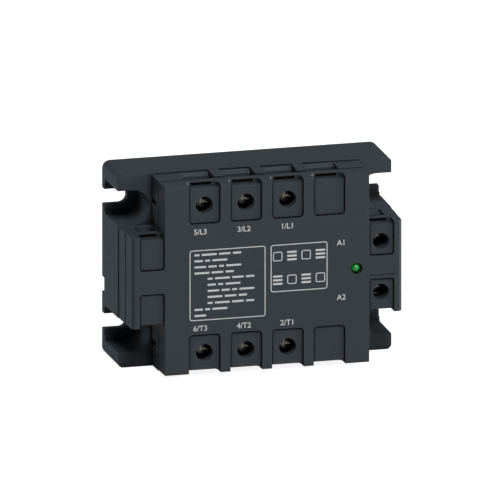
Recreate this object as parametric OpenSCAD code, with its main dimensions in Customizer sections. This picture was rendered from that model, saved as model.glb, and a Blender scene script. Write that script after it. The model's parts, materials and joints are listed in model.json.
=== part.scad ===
// Three-phase solid state relay for mounting on a heat sink.
// The relay stands upright: X to the right, Z up, and the front faces -Y.
// The origin is the centre of the flat back that lies on the heat sink.

/* [Overall] */
// Width across the mounting flange
body_w = 105; // [100:1:130]
// Height of the mounting flange
body_h = 74; // [72:1:95]
// Depth of the rear housing
rear_depth = 22; // [21:0.5:27]
// Depth of the terminal frame in front of the housing
frame_depth = 9; // [8.5:0.1:11]
// Depth of the front cover
cover_depth = 9.1; // [8.8:0.1:12]
// Mould draft of the outer walls, in degrees
draft = 0.7; // [0:0.1:1.2]
// Corner radius of the flange, seen from the front
corner_r = 3; // [1:0.5:5]
// Thickness of the outer walls
wall = 2.5; // [2:0.1:3]
// Thickness of the cover's front wall
front_wall = 2.4; // [2:0.1:3]
// Width of the control block and its blank twin beside the main body
block_w = 13.4; // [12.5:0.1:16]
// Step from the flange in to the terminal frame
frame_step = 0.3; // [0.1:0.05:0.6]
// Step from the terminal frame in to the cover
cover_step = 0.25; // [0.1:0.05:0.5]
// Width of the shadow grooves at the seams
seam_w = 0.4; // [0.2:0.05:0.6]
// Depth of the shadow grooves at the seams
seam_depth = 0.9; // [0.3:0.1:1.2]
// Chamfer on the outer front edge of the side blocks
block_chamfer = 1.1; // [0.5:0.1:2]

/* [Mounting slots] */
// Distance between the upper and lower slots
slot_spacing = 47.6; // [44:0.1:54]
// Distance from the flange's side to the slot's round end
slot_inset = 5.9; // [5:0.1:8]
// Width of a slot
slot_w = 5.8; // [4.5:0.1:6.4]
// Width of the washer seat round a slot
seat_w = 10.4; // [9:0.1:11]
// Width of the pocket in front of a slot
pocket_w = 13.2; // [12.4:0.1:14]
// How much further out the pocket lies than its slot
pocket_shift = 0.4; // [0:0.1:0.8]
// Thickness of the housing under the washer
seat_t = 3.2; // [2.5:0.1:5]
// Depth of the washer seat below the pocket's floor
seat_depth = 1; // [0.5:0.1:2]
// Width of the notch in the left rear edge
notch_w = 5.6; // [4:0.1:8]
// Depth of the notch from the back
notch_depth = 3.1; // [2:0.1:5]
// Height of the notch below the middle
notch_drop = 10; // [6:0.5:12]

/* [Power terminals] */
// Distance between neighbouring positions
terminal_pitch = 15.875; // [15.5:0.125:18]
// Distance from the flange's top or bottom edge to a row of screws
row_inset = 8.8; // [8.5:0.1:10]
// Width of a wire entry
entry_w = 12; // [11.4:0.1:12.4]
// Diameter of a screwdriver hole
driver_hole_d = 6.5; // [5.5:0.1:7]
// Inner width of a terminal chamber
chamber_w = 11; // [10.9:0.1:11.4]
// Inner height of a terminal chamber
chamber_h = 11; // [10.6:0.1:11.4]
// How far the ramp into a wire entry drops
ramp_drop = 1.4; // [1:0.1:2]
// Width of the rounded tongue that the cover reaches over a wire entry
tongue_w = 8.6; // [6:0.2:10]
// Length of that tongue
tongue_l = 2; // [0.5:0.1:2.2]
// Height of the bar's contact face in front of the housing's rim
bar_rise = 2.4; // [2.2:0.1:3.4]
// Thickness of a power bar
bar_t = 1.5; // [1:0.1:2]
// Width of a power bar
bar_w = 8; // [7:0.1:9]
// Diameter of a power screw's thread
screw_d = 4; // [3.5:0.1:5]
// Length of a power screw under its head
screw_len = 12; // [11:0.5:13]
// Diameter of a power screw's head
screw_head_d = 7.6; // [7:0.1:8.4]
// Height of a power screw's head
screw_head_h = 2.4; // [2:0.1:3]
// Width of a wire clamp
clamp_w = 10.2; // [9:0.1:10.3]
// Length of a wire clamp
clamp_l = 9.8; // [9:0.1:10]
// Thickness of a wire clamp
clamp_t = 1.5; // [1:0.1:1.8]
// Space for the wire between bar and clamp with the terminal open
clamp_gap = 6.3; // [5.5:0.1:6.5]
// Across the flats of a square nut
nut_w = 7; // [6.5:0.1:7.5]
// Height of a square nut
nut_h = 3.2; // [2.5:0.1:3.5]

/* [Control terminals] */
// Distance from the flange's side to the control screws
control_inset = 8.9; // [8.8:0.1:9.2]
// Distance between the two control screws
control_spacing = 19.4; // [18:0.1:20]
// Diameter of a control screwdriver hole
control_hole_d = 6.1; // [5.8:0.1:6.4]
// Inner width of a control chamber
control_chamber = 7.2; // [7:0.1:7.4]
// Height of the strip's contact face in front of the housing's rim
strip_rise = 3.2; // [3:0.1:4.6]
// Thickness of a control strip
strip_t = 1; // [0.8:0.1:1.2]
// Width of a control strip
strip_w = 5; // [4:0.1:5.6]
// From a control screw's axis to its strip's end
strip_reach = 3; // [2.6:0.1:3.2]
// Diameter of a control screw's thread
pin_screw_d = 3; // [2.5:0.1:3.5]
// Length of a control screw under its head
pin_screw_len = 9.5; // [8.5:0.5:10]
// Diameter of a control screw's head
pin_head_d = 5.5; // [5:0.1:5.6]
// Height of a control screw's head
pin_head_h = 2; // [1.6:0.1:2.4]
// Width of a control clamp
pin_clamp_w = 6.4; // [5.6:0.1:6.5]
// Thickness of a control clamp
pin_clamp_t = 1; // [0.8:0.1:1.2]
// Space for the wire between strip and clamp with the terminal open
pin_clamp_gap = 3.6; // [3:0.1:3.8]
// Across the flats of a control nut
pin_nut_w = 5.5; // [5:0.1:6]
// Height of a control nut
pin_nut_h = 2.4; // [2:0.1:3]

/* [Front recesses] */
// Depth of the recesses in the cover's front
recess_depth = 0.6; // [0.4:0.1:0.9]
// Depth of the recesses in the cover's top and bottom
recess_drop = 1.3; // [1:0.1:1.5]
// Width of the groove round a recess
groove_w = 0.4; // [0.3:0.05:0.6]
// Depth of the groove below a recess's floor
groove_depth = 0.8; // [0.4:0.1:1]
// Height of the slot at the rear end of a recess
slit_h = 0.9; // [0.6:0.1:1]
// Depth of that slot
slit_depth = 1.2; // [0.5:0.1:1.5]
// Distance from the flange's edge to a power recess's inner end
recess_reach = 15.9; // [15:0.1:17]
// Where a recess starts on the cover's top, behind the front face
recess_wrap = 5.8; // [4:0.1:6.5]
// Width of a recess on a side block
block_recess_w = 9.4; // [8.6:0.1:10]
// Height of the flush bar between a side block's recesses
block_bar_h = 8.8; // [6:0.2:10]

/* [Indicator] */
// Diameter of the green light guide
guide_d = 3; // [2.5:0.1:3.5]
// Diameter of the sunk ring round it
guide_ring_d = 4.4; // [4:0.1:5]
// Distance from the main body's side to the guide
guide_inset = 4.9; // [4.6:0.1:6]

/* [Front printing] */
// Thickness of the printed ink
ink_t = 0.05; // [0.02:0.01:0.1]
// Width of the printed frames' lines
ink_line = 0.35; // [0.25:0.05:0.6]
// Width of the larger printed frame
panel_w = 29; // [24:0.5:30]
// Height of the larger printed frame
panel_h = 27; // [24:0.5:28]
// Width of the smaller printed frame
approval_w = 21.7; // [18:0.1:22]
// Height of the smaller printed frame
approval_h = 18.1; // [14:0.1:20]

/* [Base and electronics] */
// Width of the aluminium base plate
base_w = 84; // [80:0.5:85]
// Height of the aluminium base plate
base_h = 66; // [60:0.5:68]
// Thickness of the aluminium base plate
base_t = 3; // [2.5:0.1:3.1]
// How far the base plate stands out of the housing's back
base_proud = 0.1; // [0:0.05:0.2]
// Width of a ceramic substrate
ceramic_w = 14.2; // [12:0.1:14.8]
// Length of a ceramic substrate
ceramic_l = 32; // [28:1:34]
// Thickness of a ceramic substrate
ceramic_t = 1; // [0.6:0.1:1.5]
// Side of a thyristor chip
chip_w = 6; // [4:0.5:7]
// Thickness of a thyristor chip
chip_t = 0.4; // [0.3:0.1:0.6]
// Height of the soft filling over the base plate
potting_h = 5.5; // [5:0.5:8]
// Height of the control board over the base plate
board_rise = 9.4; // [9:0.1:10]
// Thickness of the control board
board_t = 1.6; // [1:0.1:2]
// Height of the control board, up the relay
board_h = 33.6; // [32:0.2:34]

/* [Clearances] */
// Gap between pieces that are fitted together
fit = 0.2; // [0.1:0.05:0.3]
// Gap round pieces that move past others
free_gap = 0.3; // [0.3:0.05:0.4]
// Radial gap of a thread in its nut
thread_gap = 0.05; // [0.02:0.01:0.1]
// Play between a screw's head and its clamp
head_play = 0.05; // [0.02:0.01:0.1]
// Space left between a closed power clamp and its bar
closed_gap = 0.8; // [0.8:0.1:1.5]
// Space left between a closed control clamp and its strip
pin_closed_gap = 0.4; // [0.4:0.1:1]

/* [Hidden] */

$fn = 64;
over = 1;                                   // how far a cut runs past a face
plastic = [0.22, 0.235, 0.255];
copper = [0.80, 0.50, 0.32];
steel = [0.62, 0.60, 0.56];
black = [0.12, 0.12, 0.13];

// Depths in front of the mounting face
seam_z = rear_depth + frame_depth;
front_z = seam_z + cover_depth;
recess_z = front_z - recess_depth;
inner_front_z = front_z - front_wall;
ceramic_top = base_t + ceramic_t;
board_z = base_t + board_rise;
board_top = board_z + board_t;
bar_z = rear_depth + bar_rise;
strip_z = rear_depth + strip_rise;

// Depths of the screws with the terminals open, and of the wells that take their tips
clamp_travel = clamp_gap - closed_gap;
pin_travel = pin_clamp_gap - pin_closed_gap;
power_head_z = bar_z + clamp_gap + clamp_t + head_play;
power_well_z = power_head_z - screw_len - clamp_travel - free_gap;
pin_head_z = strip_z + pin_clamp_gap + pin_clamp_t + head_play;
pin_well_z = pin_head_z - pin_screw_len - pin_travel - free_gap;
well_floor = 1;
block_well_z = pin_well_z - well_floor - fit;   // floor of the hollow behind a side block

// Places across the front: x to the right, y up
main_lap = 0.5;                             // how far the main body laps over the side blocks, before draft
main_half = body_w / 2 - block_w + main_lap;
cavity_x = body_w / 2 - block_w - wall;
cavity_y = body_h / 2 - wall;
positions = 4;
column_l3 = 0;
column_l2 = 1;
column_l1 = 2;
used_columns = [column_l3, column_l2, column_l1];
row_y = body_h / 2 - row_inset;
chamber_y0 = row_y - chamber_h / 2;
chamber_y1 = row_y + chamber_h / 2;
partition = 1.8;                            // wall between a terminal chamber and the hollow
hollow_y = chamber_y0 - partition;          // half height of the hollow between the rows
leg_gap = 2;                                // between that wall and a bar's leg
leg_y = hollow_y - leg_gap;
bar_reach = 4.8;                            // from a screw's axis to its bar's end
control_x = body_w / 2 - control_inset;
control_y = control_spacing / 2;
slot_x = body_w / 2 - slot_inset;
slot_y = slot_spacing / 2;
pocket_y = slot_y + pocket_shift;
block_half = pocket_y - pocket_w / 2;
block_x0 = body_w / 2 - block_w;            // where a side block's front begins
block_skin = 2;                             // walls above and below the hollow of a side block
block_cavity_x0 = cavity_x + wall + 0.8;
block_cavity_x1 = body_w / 2 - wall;
guide_x = body_w / 2 - block_w - guide_inset;
board_x = cavity_x - 2 * fit;
rib_w = terminal_pitch - entry_w;

// Screws that hold the base plate
base_screw_r = 1.25;
base_head_r = 2.35;
base_screw_x = base_w / 2 - 2.7;
base_screw_y = 11.5;
base_screw_l = 10;

// The hollow over the base plate, and the solid wall round it that the screws hold in
base_lap = 5.4;                             // from that hollow to the base plate's edge
floor_x = base_w / 2 - base_lap;
floor_z = base_screw_l + 1;

// Latches that hold the terminal frame
latch_x = cavity_x + 0.8;
latch_y = 27;
latch_w = 1.4;
latch_t = 1;
latch_hook = 0.5;
latch_rise = 5.4;

function column_x(i) = (i - (positions - 1) / 2) * terminal_pitch;
function shrink(z) = z * tan(draft);

// Stands a piece upright: its x stays, its y becomes Z and its z comes out of the front.
module upright() rotate([90, 0, 0]) children();

// Both rows, or both sides, of the relay
module both_rows() for (s = [0, 1]) mirror([0, s, 0]) children();
module both_sides() for (s = [0, 1]) mirror([s, 0, 0]) children();

module box(x0, x1, y0, y1, z0, z1) translate([x0, y0, z0]) cube([x1 - x0, y1 - y0, z1 - z0]);

module rounded(w, h, r) {
    square([w, h - 2 * r], center = true);
    square([w - 2 * r, h], center = true);
    for (x = [-1, 1], y = [-1, 1]) translate([x * (w / 2 - r), y * (h / 2 - r)]) circle(r);
}

module rounded_line(w, h, r, line) difference() {
    rounded(w, h, r);
    rounded(w - 2 * line, h - 2 * line, r - line);
}

// A block whose walls lean in by the draft. half_x and half_y are its half sizes at the mounting face.
module drafted(half_x, half_y, z0, z1, chamfer = 0) {
    x0 = half_x - shrink(z0);
    x1 = half_x - shrink(z1);
    y0 = half_y - shrink(z0);
    y1 = half_y - shrink(z1);
    intersection() {
        translate([0, half_y, 0]) rotate([90, 0, 0]) linear_extrude(2 * half_y)
            polygon([[-x0, z0], [x0, z0], [x1, z1 - chamfer], [x1 - chamfer, z1],
                [chamfer - x1, z1], [-x1, z1 - chamfer]]);
        translate([-half_x, 0, 0]) rotate([90, 0, 90]) linear_extrude(2 * half_x)
            polygon([[-y0, z0], [y0, z0], [y1, z1], [-y1, z1]]);
    }
}

// The main body and the two side blocks between two depths: step sets them in from the frame, and
// groove sinks a seam below their faces
module front_outline(step, groove, z0, z1, chamfer = 0) {
    drafted(main_half - step / 2 - groove, body_h / 2 - frame_step - step - groove, z0, z1);
    drafted(body_w / 2 - frame_step - step / 2 - groove, block_half + shrink(z0) - step / 2 - groove,
        z0, z1, chamfer);
}

// ---- Rear housing ----

module side_slot(w, z0, z1) translate([slot_x, 0, z0]) linear_extrude(z1 - z0) {
    circle(d = w);
    translate([0, -w / 2]) square([slot_inset + over, w]);
}

module mounting_slot() {
    translate([0, slot_y, 0]) side_slot(slot_w, -over, rear_depth);
    translate([0, slot_y, 0]) side_slot(seat_w, seat_t, rear_depth);
    translate([0, pocket_y, 0]) side_slot(pocket_w, seat_t + seat_depth, rear_depth + over);
}

// An upright tongue with a hook that holds the terminal frame
module latch() for (y = [-latch_y, latch_y]) {
    box(latch_x, latch_x + latch_t, y - latch_w / 2, y + latch_w / 2, rear_depth - over, rear_depth + latch_rise);
    box(latch_x, latch_x + latch_t + latch_hook, y - latch_w / 2, y + latch_w / 2,
        rear_depth + latch_rise - latch_t, rear_depth + latch_rise);
}

module board_shelves() {
    shelf_w = 2;
    shelf_h = 4.8;
    both_sides() both_rows()
        box(cavity_x - shelf_w, cavity_x, board_h / 2 - shelf_h, board_h / 2, base_t, board_z);
}

module base_screw_places() both_sides() for (y = [-base_screw_y, base_screw_y])
    translate([base_screw_x, y, 0]) children();

// Ribs between the wire entries, level with the flange; gap widens them into the frame's slots
module entry_ribs(gap) intersection() {
    drafted(body_w / 2 + gap, body_h / 2 + gap, rear_depth - over, seam_z + gap);
    for (i = [0 : positions - 2]) translate([column_x(i) + terminal_pitch / 2, 0, 0])
        box(-rib_w / 2 - gap, rib_w / 2 + gap, cavity_y - gap, body_h, rear_depth - over,
            seam_z - free_gap + 2 * gap);
}

// Room in the housing for the ceramics
module ceramic_room() for (i = used_columns) translate([column_x(i), 0, base_t - over])
    linear_extrude(floor_z - base_t + over)
        square([ceramic_w + 2 * free_gap, ceramic_l + 2 * free_gap], center = true);

module housing_shell() {
    ledge = 2;                              // lip that the base plate lies against
    notch_in = 1.6;
    difference() {
        intersection() {
            drafted(body_w / 2, body_h / 2, base_proud, rear_depth);
            linear_extrude(rear_depth) rounded(body_w, body_h, corner_r);
        }
        box(-base_w / 2 - fit, base_w / 2 + fit, -base_h / 2 - fit, base_h / 2 + fit, -over, base_t);
        box(-cavity_x, cavity_x, -cavity_y, cavity_y, floor_z, rear_depth + over);
        box(-floor_x, floor_x, -cavity_y, cavity_y, base_t + over, floor_z + over);
        box(-floor_x, floor_x, ledge - base_h / 2, base_h / 2 - ledge, base_t - over, floor_z);
        ceramic_room();
        both_sides() both_rows() mounting_slot();
        both_sides() box(block_cavity_x0, block_cavity_x1, block_skin - block_half, block_half - block_skin,
            block_well_z, rear_depth + over);
        base_screw_places() cylinder(r = base_screw_r + thread_gap, h = base_screw_l + over);
        translate([-body_w / 2, -notch_drop, 0])
            box(-over, notch_in, -notch_w / 2, notch_w / 2, -over, notch_depth);
    }
}

module housing() color(plastic) upright() {
    housing_shell();
    board_shelves();
    both_rows() entry_ribs(0);
    both_sides() latch();
}

// ---- Base plate ----

module base_plate() color([0.78, 0.79, 0.80]) upright() difference() {
    sink = 1.35;
    linear_extrude(base_t) rounded(base_w, base_h, 1);
    base_screw_places() {
        translate([0, 0, -over]) cylinder(r = base_screw_r + fit, h = base_t + 2 * over);
        translate([0, 0, -0.01]) cylinder(r1 = base_head_r + 0.15, r2 = base_screw_r, h = sink);
    }
}

module base_screws() color(steel) upright() base_screw_places() difference() {
    head_h = 1.1;
    head_z = 0.1;
    drive_w = 0.5;
    drive_l = 2.4;
    drive_depth = 0.8;
    union() {
        translate([0, 0, head_z]) cylinder(r1 = base_head_r, r2 = base_screw_r, h = head_h);
        translate([0, 0, head_h]) cylinder(r = base_screw_r, h = base_screw_l - head_h);
    }
    for (a = [0, 90]) rotate([0, 0, a])
        translate([-drive_l / 2, -drive_w / 2, 0]) cube([drive_l, drive_w, head_z + drive_depth]);
}

// ---- Terminal frame ----

// The ramp that leads a wire in over an edge at height top, down to the floor at depth floor_z
module lead_in(w, top, floor_z) {
    slope = (floor_z - rear_depth - seam_w) / ramp_drop;
    translate([-w / 2, 0, 0]) rotate([90, 0, 90]) linear_extrude(w)
        polygon([[top + over, rear_depth + seam_w - slope * over], [top + over, floor_z + over],
            [top - ramp_drop, floor_z + over], [top - ramp_drop, floor_z]]);
}

// A square pocket for a nut and the well for the screw's tip under it
module nut_pocket(w, z0, z1, d, well_z) {
    half = w / 2 + fit / 2;
    box(-half, half, -half, half, z0, z1);
    translate([0, 0, well_z]) cylinder(d = d + 2 * free_gap + fit, h = z1 - well_z);
}

module power_entry(i, used) translate([column_x(i), 0, 0]) {
    box(-entry_w / 2, entry_w / 2, chamber_y0, body_h / 2 + over, bar_z, seam_z + over);
    lead_in(entry_w, body_h / 2 - frame_step, bar_z);
    if (used) {
        box(-bar_w / 2 - fit, bar_w / 2 + fit, hollow_y - over, row_y + bar_reach + fit, bar_z - bar_t, bar_z + fit);
        translate([0, row_y, 0]) nut_pocket(nut_w, bar_z - bar_t - nut_h, bar_z, screw_d, power_well_z);
    }
}

module control_entry() translate([control_x, 0, 0]) {
    half = control_chamber / 2;
    strip_half = strip_w / 2 + fit / 2;
    box(-half, half, control_y - half, block_half + over, strip_z, seam_z + over);
    lead_in(control_chamber, block_half, strip_z);
    box(cavity_x - control_x - over, strip_reach + fit / 2, control_y - strip_half, control_y + strip_half,
        strip_z - strip_t, strip_z + fit);
    translate([0, control_y, 0])
        nut_pocket(pin_nut_w, strip_z - strip_t - pin_nut_h, strip_z, pin_screw_d, pin_well_z);
}

// The blank twin of the control block has shallow entries only
module blank_entry() translate([-control_x, 0, 0]) {
    shallow = 4;
    box(-control_chamber / 2, control_chamber / 2, block_half - shallow, block_half + over,
        strip_z, seam_z + over);
}

module latch_window() for (y = [-latch_y, latch_y])
    box(latch_x - fit, main_half + over, y - latch_w / 2 - fit, y + latch_w / 2 + fit,
        rear_depth - over, rear_depth + latch_rise + 3 * fit);

module terminal_frame() color(plastic) upright() difference() {
    union() {
        front_outline(0, seam_depth, rear_depth, rear_depth + seam_w);
        front_outline(0, 0, rear_depth + seam_w, seam_z);
        both_rows() box(-cavity_x + fit, cavity_x - fit, hollow_y, cavity_y - fit,
            power_well_z - well_floor, rear_depth + over);
        box(block_cavity_x0 + fit, block_cavity_x1 - fit, block_skin - block_half + fit,
            block_half - block_skin - fit, pin_well_z - well_floor, rear_depth + over);
    }
    box(-cavity_x, cavity_x, -hollow_y, hollow_y, power_well_z - 2 * well_floor, seam_z + over);
    both_rows() for (i = [0 : positions - 1]) power_entry(i, i < len(used_columns));
    both_rows() entry_ribs(free_gap);
    both_rows() control_entry();
    both_rows() blank_entry();
    both_sides() latch_window();
}

// ---- Front cover ----

// A sunk panel: a shallow floor with a groove round it
module sunk_panel(w, h, r) {
    translate([0, 0, recess_z]) linear_extrude(recess_depth + over) rounded(w, h, r);
    translate([0, 0, recess_z - groove_depth]) linear_extrude(groove_depth + over) rounded_line(w, h, r, groove_w);
}

// The part of a recess that wraps over the cover's edge, with the slot at its rear end
module wrapped_end(w, top, r) {
    floor_y = top - recess_drop;
    translate([0, top + over, front_z]) rotate([90, 0, 0]) linear_extrude(over + recess_drop)
        rounded(w, 2 * recess_wrap, r);
    box(r - w / 2, w / 2 - r, floor_y, floor_y + slit_h, front_z - recess_wrap - slit_depth, front_z - over);
}

module power_recess(i) translate([column_x(i), 0, 0]) {
    h = recess_reach + over;
    translate([0, body_h / 2 - recess_reach + h / 2, 0]) sunk_panel(entry_w, h, 1.5);
    wrapped_end(entry_w, body_h / 2 - frame_step - cover_step - shrink(front_z), 2);
}

module block_recess() translate([block_x0 + block_recess_w / 2, 0, 0]) {
    h = block_half - block_bar_h / 2 + over;
    translate([0, block_bar_h / 2 + h / 2, 0]) sunk_panel(block_recess_w, h, 1);
    wrapped_end(block_recess_w, block_half - cover_step / 2, 1.5);
}

// A rounded tongue on the cover's rear edge, over a wire entry
module entry_tongue(i) {
    r = (tongue_w * tongue_w / 4 + tongue_l * tongue_l) / (2 * tongue_l);
    y1 = body_h / 2 - frame_step - cover_step - seam_depth - shrink(seam_z);
    translate([column_x(i), y1, seam_z]) rotate([90, 0, 0]) linear_extrude(wall - seam_depth) intersection() {
        translate([0, r - tongue_l]) circle(r, $fn = 128);
        translate([-tongue_w / 2, -tongue_l]) square([tongue_w, tongue_l + over / 2]);
    }
}

module power_chamber(i) translate([column_x(i), 0, 0]) {
    box(-chamber_w / 2, chamber_w / 2, chamber_y0, chamber_y1, seam_z - over, power_head_z + screw_head_h + over);
    if (i < len(used_columns)) translate([0, row_y, seam_z]) cylinder(d = driver_hole_d, h = cover_depth + over);
}

module control_chamber_cut() translate([control_x, control_y, 0]) {
    half = control_chamber / 2;
    box(-half, half, -half, half, seam_z - over, pin_head_z + pin_head_h + over);
    translate([0, 0, seam_z]) cylinder(d = control_hole_d, h = cover_depth + over);
}

module front_cover() color(plastic) upright() {
    side_floor = 2.5;                       // plastic left at the ends of a side block's hollow
    ring_depth = 1.5;
    line_w = 0.3;                           // shallow line across the control block
    line_y = -3;
    difference() {
        union() {
            difference() {
                union() {
                    front_outline(cover_step, seam_depth, seam_z, seam_z + seam_w);
                    front_outline(cover_step, 0, seam_z + seam_w, front_z, block_chamfer);
                }
                both_rows() for (i = [0 : positions - 1]) power_chamber(i);
            }
            both_rows() for (i = [0 : positions - 1]) entry_tongue(i);
        }
        box(-cavity_x, cavity_x, -hollow_y, hollow_y, seam_z - over, inner_front_z);
        box(-block_cavity_x1 + over, -block_cavity_x0, side_floor - block_half, block_half - side_floor,
            seam_z - over, inner_front_z);
        both_rows() for (i = [0 : positions - 1]) power_recess(i);
        both_sides() both_rows() block_recess();
        both_rows() control_chamber_cut();
        translate([guide_x, 0, 0]) {
            translate([0, 0, seam_z]) cylinder(d = guide_d + fit, h = cover_depth + over);
            translate([0, 0, front_z - ring_depth]) cylinder(d = guide_ring_d, h = ring_depth + over);
        }
        translate([block_x0 + block_recess_w / 2, line_y, front_z - line_w])
            linear_extrude(over) square([block_recess_w + 2 * line_w, line_w], center = true);
    }
}

module light_guide() color([0.1, 0.8, 0.15]) upright() translate([guide_x, 0, 0]) {
    r = guide_d / 2;
    flange_r = r + 0.7;
    flange_t = 1.2;
    led_gap = 1.3;                          // room for the lamp on the board
    dome_z = front_z - r - fit;
    translate([0, 0, board_top + led_gap]) cylinder(r = r, h = dome_z - board_top - led_gap);
    translate([0, 0, inner_front_z - flange_t]) cylinder(r = flange_r, h = flange_t);
    translate([0, 0, dome_z]) intersection() {
        sphere(r);
        translate([-r, -r, 0]) cube(2 * r);
    }
}

// ---- Front printing: plain frames, word bars and blocks ----

print_top = 11.3;                           // upper edge of both frames
print_x = -0.65;                            // right edge of the larger frame
print_gap = 1.95;                           // between the two frames
word_h = 0.75;
word_gap = 0.9;
print_rows = 11;
first_indented = 4;
last_indented = 8;

function word_w(row, k) = 1.9 + ((row * 5 + k * 3) % 4) * 1.25;
function words_in(row) = row == print_rows - 1 ? 1 : 3 + (row + 1) % 2;
function word_x(row, k) = k == 0 ? 0 : word_x(row, k - 1) + word_w(row, k - 1) + word_gap;
function is_indented(row) = row >= first_indented && row <= last_indented;

module printed_rows() {
    margin = 1.9;
    indent = 5;
    pitch = (panel_h - 2 * margin) / (print_rows - 1);
    for (row = [0 : print_rows - 1], k = [0 : words_in(row) - 1])
        translate([margin + word_x(row, k) + (is_indented(row) ? indent : 0), -margin - row * pitch])
            translate([0, -word_h / 2]) square([word_w(row, k), word_h]);
}

module printed_blocks() {
    side = 3.6;
    columns = 4;
    for (row = [0, 1], k = [0 : columns - 1])
        translate([(k + 0.5) * approval_w / columns, -(row + 0.5) * approval_h / 2])
            if ((row + k) % 2 == 0) rounded_line(side, side, 0.7, ink_line);
            else for (y = [-1, 0, 1]) translate([0, y * (side - word_h) / 2]) square([side, word_h], center = true);
}

module front_print() color([0.8, 0.81, 0.82]) upright() translate([0, 0, front_z]) linear_extrude(ink_t) {
    translate([print_x - panel_w / 2, print_top - panel_h / 2]) rounded_line(panel_w, panel_h, 1, ink_line);
    translate([print_x - panel_w, print_top]) printed_rows();
    translate([print_x + print_gap + approval_w / 2, print_top - approval_h / 2])
        rounded_line(approval_w, approval_h, 1, ink_line);
    translate([print_x + print_gap, print_top]) printed_blocks();
}

// ---- Power stage ----

module substrate(i) color([0.93, 0.93, 0.90]) upright() translate([column_x(i), 0, base_t])
    linear_extrude(ceramic_t) square([ceramic_w, ceramic_l], center = true);

module chip_blocks() {
    chip_y = 5;
    for (i = used_columns, y = [-chip_y, chip_y]) translate([column_x(i), y, ceramic_top])
        linear_extrude(chip_t) square(chip_w, center = true);
}

module thyristor_chips() color([0.35, 0.36, 0.40]) upright() chip_blocks();

module pin_blocks(grow) {
    pin_w = 0.64;
    edge = 1.4;                             // from the ceramic's edge to a pin
    stub = 1.5;                             // pin above the board
    for (i = used_columns, s = [-1, 1]) translate([column_x(i) + s * (ceramic_w / 2 - edge), 0, ceramic_top])
        linear_extrude(board_top + stub - ceramic_top) square(pin_w + grow, center = true);
}

module gate_pins() color([0.85, 0.75, 0.45]) upright() pin_blocks(0);

// One strip in three straight runs: foot on the ceramic, leg, and contact under the clamp
module power_bar_blank(i) translate([column_x(i), 0, 0]) {
    w = bar_w / 2;
    foot_lap = 5.5;
    box(-w, w, ceramic_l / 2 - foot_lap, leg_y, ceramic_top, ceramic_top + bar_t);
    box(-w, w, leg_y - bar_t, leg_y, ceramic_top, bar_z);
    box(-w, w, leg_y - bar_t, row_y + bar_reach, bar_z - bar_t, bar_z);
}

module power_bar(i) difference() {
    power_bar_blank(i);
    translate([column_x(i), row_y, bar_z - bar_t - over])
        cylinder(d = screw_d + 2 * free_gap, h = bar_t + 2 * over);
}

module line_bar(i) color(copper) upright() power_bar(i);
module load_bar(i) color(copper) upright() mirror([0, 1, 0]) power_bar(i);

module potting() color([0.55, 0.58, 0.60, 0.6]) upright() difference() {
    edge = 2;
    box(-floor_x, floor_x, edge - base_h / 2, base_h / 2 - edge, base_t, base_t + potting_h);
    for (i = used_columns) {
        translate([column_x(i), 0, base_t - over]) linear_extrude(ceramic_t + over)
            square([ceramic_w, ceramic_l], center = true);
        both_rows() power_bar_blank(i);
    }
    chip_blocks();
    pin_blocks(0);
    board_shelves();
}

module square_nut(w, h, d) difference() {
    translate([-w / 2, -w / 2, 0]) cube([w, w, h]);
    translate([0, 0, -over]) cylinder(d = d + 2 * thread_gap, h = h + 2 * over);
}

module terminal_nuts() color(steel) upright() both_rows() for (i = used_columns)
    translate([column_x(i), row_y, bar_z - bar_t - nut_h]) square_nut(nut_w, nut_h, screw_d);

module control_nuts() color(steel) upright() both_rows()
    translate([control_x, control_y, strip_z - strip_t - pin_nut_h])
        square_nut(pin_nut_w, pin_nut_h, pin_screw_d);

// ---- Moving terminals ----

// A clamp plate with two ridges on each side of the screw that grip the wire
module clamp_plate(w, l, t, hole_d, ridge) {
    end_gap = 0.8;                          // from a ridge's end to the plate's edge
    difference() {
        linear_extrude(t) rounded(w, l, 0.6);
        translate([0, 0, -over]) cylinder(d = hole_d, h = t + 2 * over);
    }
    for (s = [-1, 1], share = [0.62, 0.86]) translate([s * share * w / 2, 0, 0]) rotate([90, 0, 0])
        translate([0, 0, end_gap - l / 2]) linear_extrude(l - 2 * end_gap)
            polygon([[-ridge, 0.01], [0, -ridge], [ridge, 0.01]]);
}

// A domed screw with a slot and a cross; its head starts at z = 0 and its shank runs to -len
module terminal_screw(d, len, head_d, head_h) {
    dome_angle = 40;                        // slope of the dome at its edge
    dome_r = head_d / 2 / sin(dome_angle);
    tip = 0.4;
    drive_w = head_d * 0.16;
    cross_l = head_d * 0.62;
    slot_z = head_h * 0.55;
    cross_z = head_h * 0.3;
    rotate_extrude() polygon([[0, -len], [d / 2 - tip, -len], [d / 2, tip - len], [d / 2, 0.01], [0, 0.01]]);
    difference() {
        intersection() {
            cylinder(d = head_d, h = head_h);
            translate([0, 0, head_h - dome_r]) sphere(dome_r, $fn = 128);
        }
        translate([-head_d, -drive_w / 2, slot_z]) cube([2 * head_d, drive_w, head_h]);
        translate([-drive_w / 2, -cross_l / 2, cross_z]) cube([drive_w, cross_l, head_h]);
    }
}

power_ridge = 0.45;
control_ridge = 0.25;

module power_clamp(i) translate([column_x(i), row_y, bar_z + clamp_gap])
    clamp_plate(clamp_w, clamp_l, clamp_t, screw_d + 2 * free_gap, power_ridge);
module line_clamp(i) color(steel) upright() power_clamp(i);
module load_clamp(i) color(steel) upright() mirror([0, 1, 0]) power_clamp(i);

module power_screw(i) translate([column_x(i), row_y, power_head_z])
    terminal_screw(screw_d, screw_len, screw_head_d, screw_head_h);
module line_screw(i) color(steel) upright() power_screw(i);
module load_screw(i) color(steel) upright() mirror([0, 1, 0]) power_screw(i);

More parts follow.
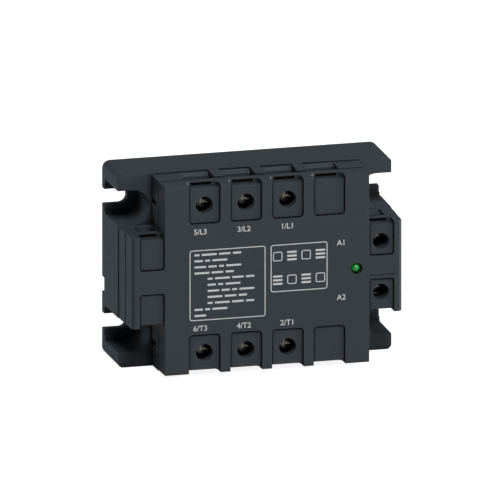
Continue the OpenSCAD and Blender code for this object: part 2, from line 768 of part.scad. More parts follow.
// The strip's inner end bends down to the board
module control_strip() {
    leg_x = cavity_x - 2.6;
    strip_half = strip_w / 2;
    difference() {
        box(leg_x, control_x + strip_reach, control_y - strip_half, control_y + strip_half,
            strip_z - strip_t, strip_z);
        translate([control_x, control_y, strip_z - strip_t - over])
            cylinder(d = pin_screw_d + 2 * free_gap, h = strip_t + 2 * over);
    }
    box(leg_x, leg_x + strip_t, control_y - strip_half, control_y + strip_half, board_top, strip_z);
}

module control_clamp() translate([control_x, control_y, strip_z + pin_clamp_gap])
    clamp_plate(pin_clamp_w, pin_clamp_w, pin_clamp_t, pin_screw_d + 2 * free_gap, control_ridge);

module control_screw() translate([control_x, control_y, pin_head_z])
    terminal_screw(pin_screw_d, pin_screw_len, pin_head_d, pin_head_h);

module bar_l1() line_bar(column_l1);
module bar_l2() line_bar(column_l2);
module bar_l3() line_bar(column_l3);
module bar_t1() load_bar(column_l1);
module bar_t2() load_bar(column_l2);
module bar_t3() load_bar(column_l3);
module bar_a1() color(copper) upright() control_strip();
module bar_a2() color(copper) upright() mirror([0, 1, 0]) control_strip();

module clamp_l1() line_clamp(column_l1);
module clamp_l2() line_clamp(column_l2);
module clamp_l3() line_clamp(column_l3);
module clamp_t1() load_clamp(column_l1);
module clamp_t2() load_clamp(column_l2);
module clamp_t3() load_clamp(column_l3);
module clamp_a1() color(steel) upright() control_clamp();
module clamp_a2() color(steel) upright() mirror([0, 1, 0]) control_clamp();

module screw_l1() line_screw(column_l1);
module screw_l2() line_screw(column_l2);
module screw_l3() line_screw(column_l3);
module screw_t1() load_screw(column_l1);
module screw_t2() load_screw(column_l2);
module screw_t3() load_screw(column_l3);
module screw_a1() color(steel) upright() control_screw();
module screw_a2() color(steel) upright() mirror([0, 1, 0]) control_screw();

module substrate_l1() substrate(column_l1);
module substrate_l2() substrate(column_l2);
module substrate_l3() substrate(column_l3);

// ---- Control board ----

module control_board() color([0.10, 0.35, 0.20]) upright() difference() {
    box(-board_x, board_x, -board_h / 2, board_h / 2, board_z, board_top);
    pin_blocks(fit);
}

module on_board(x, y) translate([x, y, board_top]) children();

// A block of the given size that stands centred on the board
module block(w, l, h) linear_extrude(h) square([w, l], center = true);

input_x = column_x(positions - 1) + 2;      // the parts of the input circuit share a column

module optocouplers() color(black) upright() for (i = used_columns) on_board(column_x(i), -3)
    block(8.8, 6.4, 3.6);

module gate_resistors() color([0.75, 0.68, 0.55]) upright() {
    l = 6.2;
    r = 1;
    for (i = used_columns, y = [2.1, 4.6]) on_board(column_x(i) - l / 2, y)
        translate([0, 0, r]) rotate([0, 90, 0]) cylinder(r = r, h = l);
}

module snubber_capacitors() color([0.75, 0.30, 0.15]) upright() for (i = used_columns)
    on_board(column_x(i), 9.2) linear_extrude(12.5) rounded(12, 6, 0.8);

module varistors() color([0.20, 0.35, 0.62]) upright() {
    disc_r = 5.2;
    disc_t = 4;
    lead_r = 0.4;
    lead_x = 2.5;
    lead_h = 3;
    for (i = used_columns) on_board(column_x(i), -11.4) {
        translate([0, disc_t / 2, disc_r + 1]) rotate([90, 0, 0]) cylinder(r = disc_r, h = disc_t);
        for (s = [-1, 1]) translate([s * lead_x, 0, 0]) cylinder(r = lead_r, h = lead_h);
    }
}

module input_regulator() color(black) upright() on_board(input_x, 6) block(6.4, 6.2, 2.3);

module input_diode() color(black) upright() {
    l = 5.2;
    r = 1.35;
    on_board(input_x - l / 2, -6) translate([0, 0, r]) rotate([0, 90, 0]) cylinder(r = r, h = l);
}

module status_led() color([0.85, 0.95, 0.80]) upright() on_board(guide_x, 0) block(3.2, 1.6, 1.1);

base_plate();
base_screws();
housing();
terminal_frame();
front_cover();
light_guide();
front_print();
substrate_l1();
substrate_l2();
substrate_l3();
thyristor_chips();
potting();
gate_pins();
bar_l1();
bar_l2();
bar_l3();
bar_t1();
bar_t2();
bar_t3();
bar_a1();
bar_a2();
terminal_nuts();
control_nuts();
clamp_l1();
clamp_l2();
clamp_l3();
clamp_t1();
clamp_t2();
clamp_t3();
clamp_a1();
clamp_a2();
screw_l1();
screw_l2();
screw_l3();
screw_t1();
screw_t2();
screw_t3();
screw_a1();
screw_a2();
control_board();
optocouplers();
gate_resistors();
snubber_capacitors();
varistors();
input_regulator();
input_diode();
status_led();
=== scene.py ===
import json
import math

import bpy
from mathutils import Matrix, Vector

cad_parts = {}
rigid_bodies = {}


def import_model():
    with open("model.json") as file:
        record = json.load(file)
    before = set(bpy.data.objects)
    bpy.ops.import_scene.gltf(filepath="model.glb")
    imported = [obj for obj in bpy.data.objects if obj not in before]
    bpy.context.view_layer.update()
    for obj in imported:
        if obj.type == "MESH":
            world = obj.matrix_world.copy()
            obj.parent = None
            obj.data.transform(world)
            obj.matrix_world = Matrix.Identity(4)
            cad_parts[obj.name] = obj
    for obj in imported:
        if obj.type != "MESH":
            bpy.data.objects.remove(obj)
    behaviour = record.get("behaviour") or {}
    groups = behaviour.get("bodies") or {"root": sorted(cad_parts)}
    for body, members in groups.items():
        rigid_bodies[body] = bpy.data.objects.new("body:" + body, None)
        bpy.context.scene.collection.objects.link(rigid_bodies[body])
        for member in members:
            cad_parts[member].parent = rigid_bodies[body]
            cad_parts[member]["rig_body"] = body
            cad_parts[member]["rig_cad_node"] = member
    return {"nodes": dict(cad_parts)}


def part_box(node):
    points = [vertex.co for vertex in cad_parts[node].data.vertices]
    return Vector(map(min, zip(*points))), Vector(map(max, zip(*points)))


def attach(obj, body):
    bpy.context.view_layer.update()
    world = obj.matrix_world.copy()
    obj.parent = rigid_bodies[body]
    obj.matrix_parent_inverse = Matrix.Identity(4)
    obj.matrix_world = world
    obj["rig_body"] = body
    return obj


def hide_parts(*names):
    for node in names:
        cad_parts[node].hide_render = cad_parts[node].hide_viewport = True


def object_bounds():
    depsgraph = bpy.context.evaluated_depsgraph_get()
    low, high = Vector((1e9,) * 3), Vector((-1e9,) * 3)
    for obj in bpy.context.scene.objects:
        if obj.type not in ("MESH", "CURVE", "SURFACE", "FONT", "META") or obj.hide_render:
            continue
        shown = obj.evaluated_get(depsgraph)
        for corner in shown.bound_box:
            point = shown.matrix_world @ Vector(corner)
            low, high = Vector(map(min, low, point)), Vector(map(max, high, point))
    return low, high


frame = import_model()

mm = 0.001
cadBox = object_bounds()
nodes = frame["nodes"]
root = "relay"


def stageNote(words):
    print("relay scene:", words)


camera = {"azimuth": -14.84, "elevation": 15.37, "width": 184.5 * mm, "right": 3.92 * mm, "up": -1.06 * mm,
          "distance": 0.6, "nearest": 0.01, "farthest": 10}
lights = {
    "key": {"at": (-0.06, -0.85, 1.05), "size": 0.50, "power": 17.5},
    "leftRear": {"at": (-0.52, 1.20, 0.16), "size": 0.22, "power": 17.0, "colour": (0.70, 0.90, 1.0),
                 "glossy": False},
    "right": {"at": (1.15, -0.20, 0.25), "size": 0.40, "power": 15.0},
}
surround = {"colour": (0.93, 0.96, 1.0), "strength": 0.10}
floorLook = {"colour": (0.35, 0.35, 0.35), "roughness": 0.9, "glow": 0.9, "size": 6.0}


def cameraAxes():
    a = math.radians(-camera["azimuth"])
    e = math.radians(camera["elevation"])
    right = Vector((math.cos(a), -math.sin(a), 0))
    up = Vector((math.sin(a) * math.sin(e), math.cos(a) * math.sin(e), math.cos(e)))
    back = Vector((-math.sin(a) * math.cos(e), -math.cos(a) * math.cos(e), math.sin(e)))
    return right, up, back


def addCamera():
    right, up, back = cameraAxes()
    place = right * camera["right"] + up * camera["up"] + back * camera["distance"]
    bpy.ops.object.camera_add(location=place)
    eye = bpy.context.object
    eye.name = "studioCamera"
    eye.rotation_euler = back.to_track_quat("Z", "Y").to_euler()
    eye.data.type = "ORTHO"
    eye.data.ortho_scale = camera["width"]
    eye.data.clip_start = camera["nearest"]
    eye.data.clip_end = camera["farthest"]
    bpy.context.scene.camera = eye


def addLights():
    for name, look in lights.items():
        bpy.ops.object.light_add(type="AREA", location=look["at"])
        lamp = bpy.context.object
        lamp.name = name + "Light"
        lamp.data.shape = "SQUARE"
        lamp.data.size = look["size"]
        lamp.data.energy = look["power"]
        lamp.data.color = look.get("colour", (1, 1, 1))
        lamp.visible_glossy = look.get("glossy", True)
        lamp.rotation_euler = Vector(look["at"]).to_track_quat("Z", "Y").to_euler()
    world = bpy.data.worlds.new("paleRoom")
    world.use_nodes = True
    world.node_tree.nodes["Background"].inputs["Color"].default_value = (*surround["colour"], 1)
    world.node_tree.nodes["Background"].inputs["Strength"].default_value = surround["strength"]
    bpy.context.scene.world = world


def addFloor():
    bpy.ops.mesh.primitive_plane_add(size=floorLook["size"], location=(0, 0, cadBox[0][2]))
    floor = bpy.context.object
    floor.name = "studioFloor"
    paint = bpy.data.materials.new("palePaper")
    paint.use_nodes = True
    shader = paint.node_tree.nodes["Principled BSDF"]
    shader.inputs["Base Color"].default_value = (*floorLook["colour"], 1)
    shader.inputs["Roughness"].default_value = floorLook["roughness"]
    shader.inputs["Emission Color"].default_value = (1, 1, 1, 1)
    # the paper looks bright to the camera but throws little light back on the relay
    ray = paint.node_tree.nodes.new("ShaderNodeLightPath")
    glow = mathNode(paint.node_tree, "MULTIPLY", ray.outputs["Is Camera Ray"], floorLook["glow"])
    paint.node_tree.links.new(glow, shader.inputs["Emission Strength"])
    floor.data.materials.append(paint)


def socket(tree, name, kind, way, value=None):
    made = tree.interface.new_socket(name=name, in_out=way, socket_type="NodeSocket" + kind)
    if value is not None:
        made.default_value = value


def newGroup(name, inputs, outputs):
    tree = bpy.data.node_groups.new(name, "ShaderNodeTree")
    for label, kind, value in inputs:
        socket(tree, label, kind, "INPUT", value)
    for label, kind in outputs:
        socket(tree, label, kind, "OUTPUT")
    return tree, tree.nodes.new("NodeGroupInput"), tree.nodes.new("NodeGroupOutput")


def mathNode(tree, action, a, b):
    node = tree.nodes.new("ShaderNodeMath")
    node.operation = action
    for place, value in ((0, a), (1, b)):
        if isinstance(value, (int, float)):
            node.inputs[place].default_value = value
        else:
            tree.links.new(value, node.inputs[place])
    return node.outputs[0]


def noiseNode(tree, vector, scale, detail, rough):
    node = tree.nodes.new("ShaderNodeTexNoise")
    tree.links.new(vector, node.inputs["Vector"])
    if isinstance(scale, (int, float)):
        node.inputs["Scale"].default_value = scale
    else:
        tree.links.new(scale, node.inputs["Scale"])
    node.inputs["Detail"].default_value = detail
    node.inputs["Roughness"].default_value = rough
    return node.outputs["Fac"]


def mixColours(tree, share, a, b):
    node = tree.nodes.new("ShaderNodeMix")
    node.data_type = "RGBA"
    tree.links.new(share, node.inputs[0])
    for place, value in ((6, a), (7, b)):
        if isinstance(value, tuple):
            node.inputs[place].default_value = (*value, 1)
        else:
            tree.links.new(value, node.inputs[place])
    return node.outputs[2]


def objectPlace(tree):
    return tree.nodes.new("ShaderNodeTexCoord").outputs["Object"]


# painted shade: near-black colour and reach of the darkening painted into seams, pockets and entries
creviceShadePaint = {"samples": 6, "reach": 2.5 * mm, "colour": (0.0012, 0.0016, 0.0020)}
mouldedMarks = {"drift": 28.0, "handling": 160.0, "grainShare": 0.45, "glossSwing": 2.0}


def buildMouldedGrainAndShade():
    # spark-eroded mould grain, slow tone drift and faint handling marks, with painted shade darkening the
    # colour in seams, pockets and entries
    tree, start, end = newGroup("mouldedGrainAndShade", [
        ("Colour", "Color", (0.05, 0.05, 0.05, 1)), ("Lighter", "Color", (0.07, 0.07, 0.07, 1)),
        ("Grain Scale", "Float", 6000.0), ("Roughness", "Float", 0.5), ("Spread", "Float", 0.06),
        ("Crevice Shade", "Float", 2.0),
    ], [("Colour", "Color"), ("Roughness", "Float"), ("Height", "Float")])
    place = objectPlace(tree)
    grain = noiseNode(tree, place, start.outputs["Grain Scale"], 3.0, 0.6)
    drift = noiseNode(tree, place, mouldedMarks["drift"], 3.0, 0.55)
    handling = noiseNode(tree, place, mouldedMarks["handling"], 5.0, 0.7)
    faintGrain = mathNode(tree, "MULTIPLY", grain, mouldedMarks["grainShare"])
    share = mathNode(tree, "MULTIPLY", mathNode(tree, "ADD", drift, faintGrain), 0.5)
    tone = mixColours(tree, share, start.outputs["Colour"], start.outputs["Lighter"])
    swing = mathNode(tree, "MULTIPLY", mathNode(tree, "SUBTRACT", handling, 0.5), start.outputs["Spread"])
    swing = mathNode(tree, "MULTIPLY", swing, mouldedMarks["glossSwing"])
    rough = mathNode(tree, "ADD", start.outputs["Roughness"], swing)
    paintedShadeAO = tree.nodes.new("ShaderNodeAmbientOcclusion")     # painted shade: ambient occlusion darkens the colour in seams, pockets and entries
    paintedShadeAO.samples = creviceShadePaint["samples"]
    paintedShadeAO.inputs["Distance"].default_value = creviceShadePaint["reach"]
    # painted shade mask: the more hollow a spot, the closer its colour goes to the painted shade colour
    depth = mathNode(tree, "POWER", paintedShadeAO.outputs["AO"], start.outputs["Crevice Shade"])
    tone = mixColours(tree, depth, creviceShadePaint["colour"], tone)
    tree.links.new(tone, end.inputs["Colour"])
    tree.links.new(rough, end.inputs["Roughness"])
    tree.links.new(grain, end.inputs["Height"])
    return tree


platingMarks = {"blotches": 260.0, "glossSwing": 0.3}


def buildBrushedMetal():
    # fine scratches, drawn out where a finish has a stretch, and plating blotches
    tree, start, end = newGroup("brushedMetal", [
        ("Colour", "Color", (0.6, 0.6, 0.6, 1)), ("Darker", "Color", (0.4, 0.4, 0.4, 1)),
        ("Roughness", "Float", 0.3), ("Stretch", "Vector", (1.0, 1.0, 1.0)), ("Scale", "Float", 900.0),
    ], [("Colour", "Color"), ("Roughness", "Float"), ("Height", "Float")])
    place = objectPlace(tree)
    stretch = tree.nodes.new("ShaderNodeVectorMath")
    stretch.operation = "MULTIPLY"
    tree.links.new(place, stretch.inputs[0])
    tree.links.new(start.outputs["Stretch"], stretch.inputs[1])
    scratches = noiseNode(tree, stretch.outputs[0], start.outputs["Scale"], 4.0, 0.65)
    blotches = noiseNode(tree, place, platingMarks["blotches"], 4.0, 0.6)
    share = mathNode(tree, "MULTIPLY", mathNode(tree, "ADD", scratches, blotches), 0.5)
    tone = mixColours(tree, share, start.outputs["Colour"], start.outputs["Darker"])
    swing = mathNode(tree, "MULTIPLY", mathNode(tree, "SUBTRACT", scratches, 0.5), platingMarks["glossSwing"])
    rough = mathNode(tree, "ADD", start.outputs["Roughness"], swing)
    tree.links.new(tone, end.inputs["Colour"])
    tree.links.new(rough, end.inputs["Roughness"])
    tree.links.new(scratches, end.inputs["Height"])
    return tree


bpy.context.scene.view_settings.view_transform = "Standard"
addCamera()
addLights()
addFloor()
stageNote("camera, lights and floor")

mouldedGrainAndShade = buildMouldedGrainAndShade()
brushedMetal = buildBrushedMetal()
stageNote("shader groups")


def newMaterial(name):
    made = bpy.data.materials.new(name)
    made.use_nodes = True
    return made, made.node_tree, made.node_tree.nodes["Principled BSDF"]


def addBump(tree, shader, height, strength, depth):
    bump = tree.nodes.new("ShaderNodeBump")
    bump.inputs["Strength"].default_value = strength
    bump.inputs["Distance"].default_value = depth
    tree.links.new(height, bump.inputs["Height"])
    tree.links.new(bump.outputs["Normal"], shader.inputs["Normal"])


plastics = {
    # creviceShade: how strongly the painted shade darkens this plastic's hollows
    "anthracite": {"colour": (0.0260, 0.0325, 0.0385), "lighter": (0.0320, 0.0395, 0.0465), "grain": 7000.0,
                   "roughness": 0.50, "spread": 0.08, "bump": 0.25, "depth": 0.02 * mm, "creviceShade": 2.2,
                   "specular": 0.35},
    "ceramicWhite": {"colour": (0.80, 0.80, 0.77), "lighter": (0.88, 0.88, 0.86), "grain": 9000.0,
                     "roughness": 0.55, "spread": 0.10, "bump": 0.3, "depth": 0.01 * mm},
    "siliconGrey": {"colour": (0.16, 0.17, 0.20), "lighter": (0.24, 0.25, 0.29), "grain": 3000.0,
                    "roughness": 0.22, "spread": 0.10, "bump": 0.1, "depth": 0.01 * mm},
    "softFilling": {"colour": (0.36, 0.39, 0.40), "lighter": (0.46, 0.49, 0.50), "grain": 900.0,
                    "roughness": 0.35, "spread": 0.20, "bump": 0.4, "depth": 0.05 * mm},
    "blackComponent": {"colour": (0.018, 0.018, 0.019), "lighter": (0.030, 0.030, 0.031), "grain": 6000.0,
                       "roughness": 0.6, "spread": 0.10, "bump": 0.4, "depth": 0.02 * mm},
    "resistorTan": {"colour": (0.52, 0.43, 0.28), "lighter": (0.62, 0.53, 0.38), "grain": 4000.0,
                    "roughness": 0.45, "spread": 0.10, "bump": 0.2, "depth": 0.02 * mm},
    "capacitorRed": {"colour": (0.46, 0.08, 0.025), "lighter": (0.56, 0.12, 0.04), "grain": 1200.0,
                     "roughness": 0.28, "spread": 0.08, "bump": 0.2, "depth": 0.03 * mm},
    "varistorBlue": {"colour": (0.03, 0.10, 0.34), "lighter": (0.05, 0.15, 0.45), "grain": 1000.0,
                     "roughness": 0.25, "spread": 0.08, "bump": 0.35, "depth": 0.05 * mm},
    "boardGreen": {"colour": (0.015, 0.12, 0.045), "lighter": (0.03, 0.19, 0.08), "grain": 1500.0,
                   "roughness": 0.35, "spread": 0.10, "bump": 0.3, "depth": 0.02 * mm},
    "ledWhite": {"colour": (0.62, 0.72, 0.58), "lighter": (0.72, 0.82, 0.68), "grain": 4000.0,
                 "roughness": 0.3, "spread": 0.05, "bump": 0.1, "depth": 0.01 * mm},
    "printInk": {"colour": (0.46, 0.47, 0.48), "lighter": (0.58, 0.59, 0.60), "grain": 5000.0,
                 "roughness": 0.6, "spread": 0.10, "bump": 0.2, "depth": 0.01 * mm},
}
metals = {
    "zincSteel": {"colour": (0.36, 0.34, 0.29), "darker": (0.19, 0.18, 0.155), "roughness": 0.20,
                  "stretch": (1.0, 1.0, 1.0), "scale": 1500.0, "bump": 0.15, "depth": 0.02 * mm},
    "bareCopper": {"colour": (0.80, 0.42, 0.24), "darker": (0.50, 0.24, 0.13), "roughness": 0.32,
                   "stretch": (1.0, 1.0, 0.06), "scale": 1600.0, "bump": 0.15, "depth": 0.02 * mm},
    "tinnedPins": {"colour": (0.80, 0.70, 0.42), "darker": (0.60, 0.52, 0.32), "roughness": 0.25,
                   "stretch": (1.0, 0.1, 1.0), "scale": 2000.0, "bump": 0.1, "depth": 0.01 * mm},
    "aluminium": {"colour": (0.72, 0.73, 0.74), "darker": (0.56, 0.57, 0.58), "roughness": 0.34,
                  "stretch": (0.03, 1.0, 1.0), "scale": 1400.0, "bump": 0.2, "depth": 0.02 * mm},
}


def plasticMaterial(name, look):
    made, tree, shader = newMaterial(name)
    group = tree.nodes.new("ShaderNodeGroup")
    group.node_tree = mouldedGrainAndShade
    group.inputs["Colour"].default_value = (*look["colour"], 1)
    group.inputs["Lighter"].default_value = (*look["lighter"], 1)
    group.inputs["Grain Scale"].default_value = look["grain"]
    group.inputs["Roughness"].default_value = look["roughness"]
    group.inputs["Spread"].default_value = look["spread"]
    # strength of the painted shade in hollows, 1.0 where a plastic gives none of its own
    group.inputs["Crevice Shade"].default_value = look.get("creviceShade", 1.0)
    shader.inputs["Specular IOR Level"].default_value = look.get("specular", 0.5)
    tree.links.new(group.outputs["Colour"], shader.inputs["Base Color"])
    tree.links.new(group.outputs["Roughness"], shader.inputs["Roughness"])
    addBump(tree, shader, group.outputs["Height"], look["bump"], look["depth"])
    return made


def metalMaterial(name, look):
    made, tree, shader = newMaterial(name)
    group = tree.nodes.new("ShaderNodeGroup")
    group.node_tree = brushedMetal
    group.inputs["Colour"].default_value = (*look["colour"], 1)
    group.inputs["Darker"].default_value = (*look["darker"], 1)
    group.inputs["Roughness"].default_value = look["roughness"]
    group.inputs["Stretch"].default_value = look["stretch"]
    group.inputs["Scale"].default_value = look["scale"]
    tree.links.new(group.outputs["Colour"], shader.inputs["Base Color"])
    tree.links.new(group.outputs["Roughness"], shader.inputs["Roughness"])
    shader.inputs["Metallic"].default_value = 1.0
    addBump(tree, shader, group.outputs["Height"], look["bump"], look["depth"])
    return made


lensLook = {"deep": (0.001, 0.045, 0.008), "bright": (0.02, 0.36, 0.04), "roughness": 0.22, "glow": 0.30,
            "haze": 900.0, "coat": 0.6, "bump": 0.1, "depth": 0.02 * mm}


def lensMaterial():
    # clear green resin with a hazy tone; its glow is painted light, emission that makes the lens shine though
    # no lamp lights it
    made, tree, shader = newMaterial("greenLens")
    haze = noiseNode(tree, objectPlace(tree), lensLook["haze"], 2.0, 0.5)
    tone = mixColours(tree, haze, lensLook["deep"], lensLook["bright"])
    tree.links.new(tone, shader.inputs["Base Color"])
    # painted glow: the lens's own green is given off as emission, although no lamp lights it
    tree.links.new(tone, shader.inputs["Emission Color"])
    shader.inputs["Emission Strength"].default_value = lensLook["glow"]
    shader.inputs["Roughness"].default_value = lensLook["roughness"]
    shader.inputs["Coat Weight"].default_value = lensLook["coat"]
    addBump(tree, shader, haze, lensLook["bump"], lensLook["depth"])
    return made


materials = {name: plasticMaterial(name, look) for name, look in plastics.items()}
materials.update({name: metalMaterial(name, look) for name, look in metals.items()})
materials["greenLens"] = lensMaterial()
stageNote("materials")


weldDistance = 0.002 * mm
shells = {
    "housing": {"piece": "rearHousing", "radius": 0.12 * mm, "flatMerge": 0},
    "terminal_frame": {"piece": "middleFrame", "radius": 0.10 * mm, "flatMerge": 0.4},
    "front_cover": {"piece": "frontCover", "radius": 0.09 * mm, "flatMerge": 0.4},
}
shellEdges = {"segments": 2, "sharperThan": 28, "flatness": 100}


def setActive(piece):
    bpy.ops.object.select_all(action="DESELECT")
    piece.select_set(True)
    bpy.context.view_layer.objects.active = piece


def copyNode(node, name, flatMerge):
    piece = nodes[node].copy()
    piece.data = nodes[node].data.copy()
    piece.name = name
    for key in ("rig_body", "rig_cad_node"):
        if key in piece:
            del piece[key]
    piece.parent = None
    bpy.context.scene.collection.objects.link(piece)
    setActive(piece)
    bpy.ops.object.mode_set(mode="EDIT")
    bpy.ops.mesh.select_all(action="SELECT")
    bpy.ops.mesh.remove_doubles(threshold=weldDistance)
    if flatMerge:
        bpy.ops.mesh.dissolve_limited(angle_limit=math.radians(flatMerge))
    bpy.ops.object.mode_set(mode="OBJECT")
    return piece


def roundEdges(piece, radius):
    edge = piece.modifiers.new("edgeRadius", "BEVEL")
    edge.width = radius
    edge.segments = shellEdges["segments"]
    edge.limit_method = "ANGLE"
    edge.angle_limit = math.radians(shellEdges["sharperThan"])
    edge.use_clamp_overlap = False
    edge.miter_outer = "MITER_SHARP"
    setActive(piece)
    bpy.ops.object.modifier_apply(modifier="edgeRadius")
    bpy.ops.object.shade_smooth()
    flat = piece.modifiers.new("flatFaces", "WEIGHTED_NORMAL")   # keeps the large faces flat
    flat.mode = "FACE_AREA"
    flat.weight = shellEdges["flatness"]
    bpy.ops.object.modifier_apply(modifier="flatFaces")


def dress(piece, material, body):
    piece.data.materials.clear()
    piece.data.materials.append(materials[material])
    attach(piece, body)


def addShells():
    for node, look in shells.items():
        piece = copyNode(node, look["piece"], look["flatMerge"])
        roundEdges(piece, look["radius"])
        dress(piece, "anthracite", root)
        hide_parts(node)


addShells()
stageNote("moulded shells")


screwStyles = {
    "power": {"model": "screw_l1", "thread": 4.0 * mm, "pitch": 0.7 * mm, "headHeight": 2.4 * mm,
              "terminals": ("l1", "l2", "l3", "t1", "t2", "t3")},
    "control": {"model": "screw_a1", "thread": 3.0 * mm, "pitch": 0.5 * mm, "headHeight": 2.0 * mm,
                "terminals": ("a1", "a2")},
}
screwShape = {"domeAngle": 40, "domeRings": 8, "domeEye": 0.02, "around": 64, "clearance": 0.1 * mm,
              "tip": 0.35 * mm, "tipSlope": 0.2, "smoothBelow": 32}
driveShape = {"width": 0.16, "slotLength": 1.5, "slotDepth": 0.42, "crossLength": 0.66, "crossDepth": 0.62,
              "crossFoot": 0.55, "edge": 0.05 * mm, "edgeSteps": 2, "edgeAbove": 35}
threadShape = {"depth": 0.6, "flank": 0.42, "crest": 0.12, "foot": 0.04, "start": 0.2, "steps": 32}


def selectFaces(piece, test):
    # picks the faces that pass the test, and comes back to edit mode
    bpy.ops.object.mode_set(mode="OBJECT")
    for face in piece.data.polygons:
        face.select = test(face)
    bpy.ops.object.mode_set(mode="EDIT")


def editPiece(piece, faces=True):
    setActive(piece)
    bpy.ops.object.mode_set(mode="EDIT")
    bpy.ops.mesh.select_mode(type="FACE" if faces else "VERT")


def leaveEdit():
    bpy.ops.object.mode_set(mode="OBJECT")


def applyModifier(piece, kind, **values):
    setActive(piece)
    change = piece.modifiers.new("change", kind)
    for key, value in values.items():
        setattr(change, key, value)
    bpy.ops.object.modifier_apply(modifier="change")


def domedHead(radius, height):
    # a low cylinder whose top face is inset ring by ring into a dome
    angle = math.radians(screwShape["domeAngle"])
    curve = radius / math.sin(angle)                # the dome's own radius
    rim = height - curve * (1 - math.cos(angle))
    bpy.ops.mesh.primitive_cylinder_add(vertices=screwShape["around"], radius=radius, depth=rim,
                                        location=(0, 0, rim / 2))
    head = bpy.context.object
    bpy.ops.object.transform_apply(location=True)
    editPiece(head)
    selectFaces(head, lambda face: face.normal.z > 0.9)
    rings = screwShape["domeRings"]
    for k in range(rings):
        here = angle * (1 - k / rings)
        after = angle * (1 - (k + 1) / rings) if k < rings - 1 else angle * screwShape["domeEye"]
        bpy.ops.mesh.inset(thickness=curve * (math.sin(here) - math.sin(after)),
                           depth=curve * (math.cos(after) - math.cos(here)))
    leaveEdit()
    return head


def cutDrive(head, radius, height):
    # a slot right across, then a cross bar that narrows towards its foot
    width = 2 * radius * driveShape["width"]
    slot = 2 * radius * driveShape["slotLength"]
    cross = 2 * radius * driveShape["crossLength"]
    for size, deep, narrowed in (((slot, width), driveShape["slotDepth"], 1.0),
                                 ((width, cross), driveShape["crossDepth"], driveShape["crossFoot"])):
        tall = height * deep
        bpy.ops.object.select_all(action="DESELECT")
        bpy.ops.mesh.primitive_cube_add(size=1, location=(0, 0, height))
        cutter = bpy.context.object
        cutter.scale = (size[0], size[1], 2 * tall)
        bpy.ops.object.transform_apply(location=True, scale=True)
        editPiece(cutter)
        selectFaces(cutter, lambda face: face.normal.z < -0.9)
        bpy.ops.transform.resize(value=(1, narrowed, 1), center_override=(0, 0, height - tall))
        leaveEdit()
        applyModifier(head, "BOOLEAN", operation="DIFFERENCE", solver="EXACT", object=cutter)
        bpy.data.objects.remove(cutter, do_unlink=True)
    applyModifier(head, "BEVEL", width=driveShape["edge"], segments=driveShape["edgeSteps"],
                  limit_method="ANGLE", angle_limit=math.radians(driveShape["edgeAbove"]))


def rolledThread(radius, pitch, length):
    # one tooth's outline, wound round the axis and closed at both ends
    core = radius - threadShape["depth"] * pitch
    turns = int(length / pitch) - 1
    bpy.ops.object.select_all(action="DESELECT")
    bpy.ops.mesh.primitive_plane_add(size=pitch)
    thread = bpy.context.object
    editPiece(thread, faces=False)
    bpy.ops.mesh.select_all(action="SELECT")
    bpy.ops.mesh.merge(type="CENTER")
    bpy.ops.transform.translate(value=(core, 0, -length + threadShape["start"] * pitch))
    for across, along in ((radius - core, "flank"), (0, "crest"), (core - radius, "flank"), (0, "foot")):
        step = (across, 0, threadShape[along] * pitch)
        bpy.ops.mesh.extrude_region_move(TRANSFORM_OT_translate={"value": step})
    leaveEdit()
    applyModifier(thread, "SCREW", axis="Z", angle=math.radians(360), screw_offset=pitch, iterations=turns,
                  steps=threadShape["steps"], render_steps=threadShape["steps"],
                  use_merge_vertices=True, merge_threshold=weldDistance)
    editPiece(thread, faces=False)
    bpy.ops.mesh.select_all(action="SELECT")
    bpy.ops.mesh.remove_doubles(threshold=weldDistance)
    bpy.ops.mesh.fill_holes(sides=0)
    bpy.ops.mesh.select_all(action="SELECT")
    bpy.ops.mesh.normals_make_consistent(inside=False)
    leaveEdit()
    return thread, core


def threadCore(core, length):
    bpy.ops.object.select_all(action="DESELECT")
    bpy.ops.mesh.primitive_cylinder_add(vertices=screwShape["around"], radius=core, depth=length,
                                        location=(0, 0, -length / 2))
    shank = bpy.context.object
    bpy.ops.object.transform_apply(location=True)
    editPiece(shank)
    selectFaces(shank, lambda face: face.normal.z < -0.9)
    bpy.ops.mesh.inset(thickness=screwShape["tip"])
    bpy.ops.transform.translate(value=(0, 0, -screwShape["tipSlope"] * screwShape["tip"]))
    leaveEdit()
    return shank


def modelScrew(style):
    look = screwStyles[style]
    low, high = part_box(look["model"])
    radius = (high[0] - low[0]) / 2
    length = high[1] - low[1] - look["headHeight"] - screwShape["clearance"]
    head = domedHead(radius, look["headHeight"])
    cutDrive(head, radius, look["headHeight"])
    thread, core = rolledThread(look["thread"] / 2, look["pitch"], length)
    shank = threadCore(core, length)
    bpy.ops.object.select_all(action="DESELECT")
    for part in (thread, shank, head):
        part.select_set(True)
    bpy.context.view_layer.objects.active = head
    bpy.ops.object.join()
    bpy.ops.object.shade_smooth_by_angle(angle=math.radians(screwShape["smoothBelow"]))
    head.name = style + "ScrewModel"
    return head


def placeScrews():
    for style, look in screwStyles.items():
        model = modelScrew(style)
        for terminal in look["terminals"]:
            node = "screw_" + terminal
            low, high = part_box(node)
            screw = model.copy()
            screw.data = model.data.copy()
            screw.name = "terminalScrew_" + terminal
            bpy.context.scene.collection.objects.link(screw)
            screw.rotation_euler = (math.radians(90), 0, 0)
            screw.location = ((low[0] + high[0]) / 2, low[1] + look["headHeight"], (low[2] + high[2]) / 2)
            setActive(screw)
            bpy.ops.object.transform_apply(location=True, rotation=True)
            dress(screw, "zincSteel", node + "_body")
            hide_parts(node)
        bpy.data.objects.remove(model, do_unlink=True)


placeScrews()
stageNote("terminal screws")


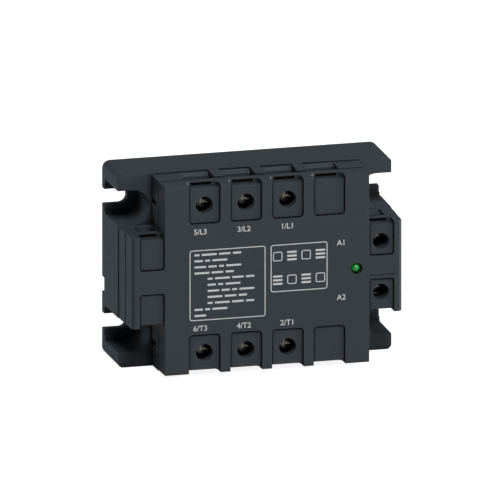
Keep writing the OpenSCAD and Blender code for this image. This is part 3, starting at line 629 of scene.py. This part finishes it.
marks = {
    "height": 2.1 * mm, "capShare": 0.72, "ink": 0.02 * mm, "weight": 0.035 * mm, "curveSteps": 4,
    "first": -25.5 * mm, "pitch": 16.6 * mm, "upper": 18.15 * mm, "lower": -18.75 * mm,
    "control": 28.3 * mm, "controlUp": 10.3 * mm, "controlDown": -10.6 * mm,
    "line": ("5/L3", "3/L2", "1/L1"), "load": ("6/T3", "4/T2", "2/T1"),
}


def addMark(words, x, z):
    low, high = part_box("front_print")
    bpy.ops.object.select_all(action="DESELECT")
    bpy.ops.object.text_add()
    mark = bpy.context.object
    mark.data.body = words
    mark.data.align_x = "CENTER"
    mark.data.align_y = "CENTER"
    mark.data.size = marks["height"] / marks["capShare"]
    mark.data.offset = marks["weight"]
    mark.data.extrude = marks["ink"]
    mark.data.resolution_u = marks["curveSteps"]
    bpy.ops.object.convert(target="MESH")
    mark.name = "mark_" + words.replace("/", "_")
    mark.rotation_euler = (math.radians(90), 0, 0)
    mark.location = (x, (low[1] + high[1]) / 2, z)
    bpy.ops.object.transform_apply(location=True, rotation=True)
    dress(mark, "printInk", root)


for k, (lineWords, loadWords) in enumerate(zip(marks["line"], marks["load"])):
    across = marks["first"] + k * marks["pitch"]
    addMark(lineWords, across, marks["upper"])
    addMark(loadWords, across, marks["lower"])
addMark("A1", marks["control"], marks["controlUp"])
addMark("A2", marks["control"], marks["controlDown"])
stageNote("terminal marks")


finishes = {
    "base_plate": "aluminium", "base_screws": "zincSteel", "terminal_nuts": "zincSteel",
    "control_nuts": "zincSteel", "thyristor_chips": "siliconGrey", "potting": "softFilling",
    "gate_pins": "tinnedPins", "control_board": "boardGreen", "optocouplers": "blackComponent",
    "gate_resistors": "resistorTan", "snubber_capacitors": "capacitorRed", "varistors": "varistorBlue",
    "input_regulator": "blackComponent", "input_diode": "blackComponent", "status_led": "ledWhite",
    "front_print": "printInk", "light_guide": "greenLens",
}


def finishFor(node):
    if node.startswith("bar_"):
        return "bareCopper"
    if node.startswith("substrate_"):
        return "ceramicWhite"
    if node.startswith("clamp_"):
        return "zincSteel"
    return finishes.get(node)


for nodeName, nodeObject in nodes.items():
    finish = finishFor(nodeName)
    if finish:                                     # the rest are replaced by the shells and screws above
        nodeObject.data.materials.clear()
        nodeObject.data.materials.append(materials[finish])
stageNote("finishes")
